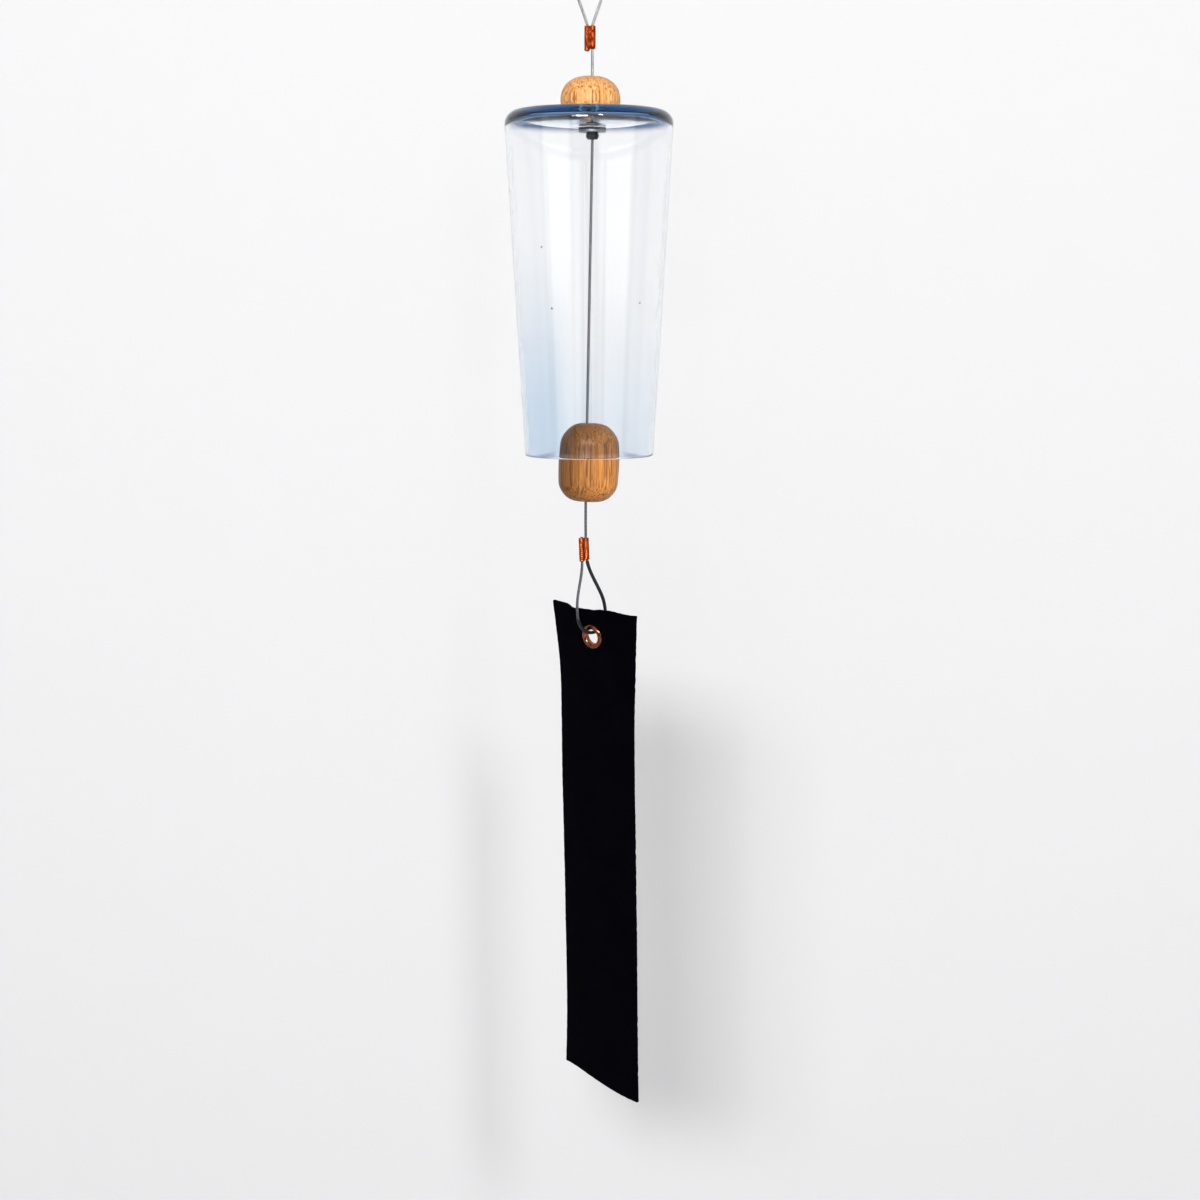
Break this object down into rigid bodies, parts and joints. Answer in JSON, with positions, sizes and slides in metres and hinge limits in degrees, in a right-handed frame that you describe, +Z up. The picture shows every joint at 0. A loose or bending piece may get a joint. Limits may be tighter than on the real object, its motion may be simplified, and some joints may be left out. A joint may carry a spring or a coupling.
{
  "type": "furin wind bell",
  "caption": "Hanging wind bell: tapered glass bell on a wire rope with oak bead and oak clapper, copper ferrules and a long leather sail.",
  "frame": {"origin": "rope centreline at the top of the hanging loop, where a hook or nail carries the bell", "axes": "+Z up, -Y the front as pictured, +X to its right"},
  "size_m": [0.0697, 0.0698, 0.4833],
  "materials": {
    "wire_rope": "twisted strands, dull",
    "copper": "polished copper, pressed",
    "old_copper": "dark copper, polished",
    "oak": "oiled",
    "blue_glass": "clear, pale blue",
    "black_rubber": "matt",
    "bright_steel": "plain",
    "dark_metal": "black, shiny",
    "black_tube": "satin",
    "black_leather": "dull, smooth"
  },
  "bodies": {
    "hanger": {"hanging_loop": "wire_rope"},
    "crimp": {"upper_ferrule": "copper", "gripped_rope": "wire_rope"},
    "cable": {"suspension_cable": "wire_rope"},
    "bead": {"top_bead": "oak"},
    "washers": {"rubber_washer": "black_rubber", "steel_washer": "bright_steel"},
    "bell": {"glass_bell": "blue_glass"},
    "stop": {"cable_stop": "dark_metal"},
    "clapper_line": {"clapper_cable": "wire_rope", "clapper_washer": "bright_steel", "clapper_stop": "dark_metal"},
    "clapper": {"clapper": "oak"},
    "tail": {"tail_cable": "wire_rope", "lower_ferrule": "copper", "loop_sleeve": "black_tube"},
    "sail": {"sail": "black_leather", "eyelet": "old_copper", "eyelet_washer": "old_copper"}
  },
  "joints": [
    {"name": "front_swing", "type": "hinge", "parent": "hanger", "child": "crimp", "pos_m": [0, 0, -0.02896], "axis": [1, 0, 0], "range_deg": [-20, 20]},
    {"name": "side_swing", "type": "hinge", "parent": "crimp", "child": "cable", "pos_m": [0.00095, 0, -0.03826], "axis": [0, 1, 0], "range_deg": [-15, 15]},
    {"name": "bead_lift", "type": "slide", "parent": "cable", "child": "bead", "axis": [0, 0, 1], "range_m": [0, 0.008]},
    {"name": "washer_turn", "type": "hinge", "parent": "cable", "child": "washers", "pos_m": [0.00095, 0, -0.07085], "axis": [0, 0, 1], "continuous": true},
    {"name": "bell_turn", "type": "hinge", "parent": "cable", "child": "bell", "pos_m": [-0.00042, 0, -0.0696], "axis": [0, 0, 1], "continuous": true},
    {"name": "clapper_turn", "type": "hinge", "parent": "cable", "child": "stop", "pos_m": [0.00095, 0, -0.07477], "axis": [0, 0, 1], "range_deg": [-180, 180]},
    {"name": "clapper_swing", "type": "hinge", "parent": "stop", "child": "clapper_line", "pos_m": [0.00095, 0, -0.07477], "axis": [0, 1, 0], "range_deg": [-4.8, 3.4]},
    {"name": "clapper_spin", "type": "hinge", "parent": "clapper_line", "child": "clapper", "pos_m": [-0.001, 0, -0.21834], "axis": [0.0436, 0, 0.999], "continuous": true},
    {"name": "tail_swing", "type": "hinge", "parent": "clapper_line", "child": "tail", "pos_m": [-0.00193, 0, -0.22244], "axis": [1, 0, 0], "range_deg": [-25, 25]},
    {"name": "sail_swing", "type": "hinge", "parent": "tail", "child": "sail", "pos_m": [0.00019, 0.00032, -0.2805], "axis": [-0.6413, -0.7525, -0.1503], "range_deg": [-30, 30]}
  ]
}
